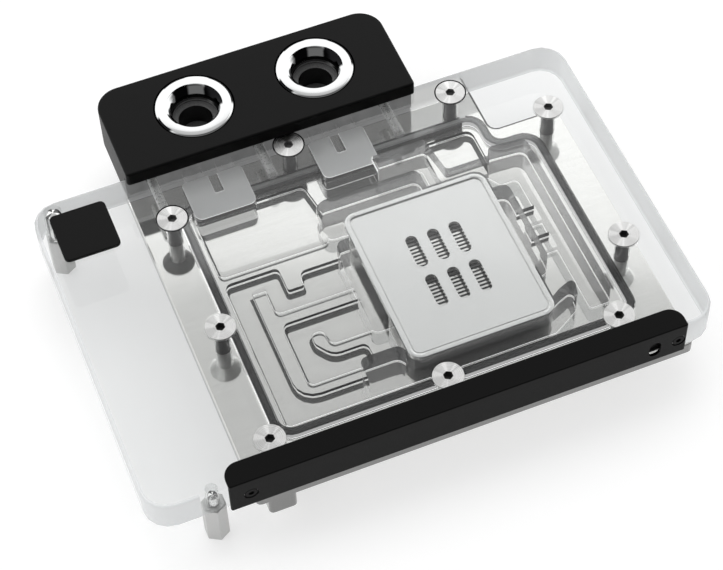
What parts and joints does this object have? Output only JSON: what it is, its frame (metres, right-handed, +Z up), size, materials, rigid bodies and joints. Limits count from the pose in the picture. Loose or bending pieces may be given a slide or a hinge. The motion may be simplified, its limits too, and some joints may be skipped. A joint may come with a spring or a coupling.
{
  "type": "graphics card water block",
  "caption": "Clear acrylic and nickel-plated cooling block for a graphics card, with milled flow channels, finned cold plate and a black hose terminal.",
  "frame": {"origin": "centre of the footprint, at the level of the standoffs' feet", "axes": "+X along the cover from the wing to the narrow end, +Y towards the hose terminal, +Z up out of the clear cover's top face"},
  "size_m": [0.1542, 0.1292, 0.0291],
  "materials": {
    "clear_acrylic": "clear, polished outside, fine-milled inside",
    "nickel_copper": "nickel-plated copper, satin mirror",
    "satin_steel": "satin",
    "bright_steel": "turned, bright",
    "chrome": "polished chrome on brass",
    "satin_black": "satin black acetal",
    "black_aluminium": "black anodised",
    "seal_rubber": "moulded black rubber",
    "circuit_board": "white lacquer",
    "socket_plastic": "moulded"
  },
  "bodies": {
    "root": {"acrylic_cover": "clear_acrylic", "cold_plate": "nickel_copper", "main_seal": "seal_rubber", "jet_insert": "clear_acrylic", "jet_plate": "satin_steel", "terminal_body": "satin_black", "port_ring_left": "chrome", "port_ring_right": "chrome", "terminal_seal_left": "seal_rubber", "terminal_seal_right": "seal_rubber", "terminal_stud_1": "bright_steel", "terminal_stud_2": "bright_steel", "terminal_stud_3": "bright_steel", "cover_screw_1": "bright_steel", "cover_screw_2": "bright_steel", "cover_screw_3": "bright_steel", "cover_screw_4": "bright_steel", "cover_screw_5": "bright_steel", "cover_screw_6": "bright_steel", "cover_screw_7": "bright_steel", "cover_screw_8": "bright_steel", "cover_screw_9": "bright_steel", "side_rail": "black_aluminium", "rail_screw_1": "black_aluminium", "rail_screw_2": "black_aluminium", "light_strip": "circuit_board", "light_socket": "socket_plastic", "badge_plate": "satin_black", "standoff_wing_1": "bright_steel", "standoff_wing_2": "bright_steel", "standoff_plate_1": "bright_steel", "standoff_plate_2": "bright_steel", "standoff_plate_3": "bright_steel", "standoff_plate_4": "bright_steel"}
  },
  "joints": []
}
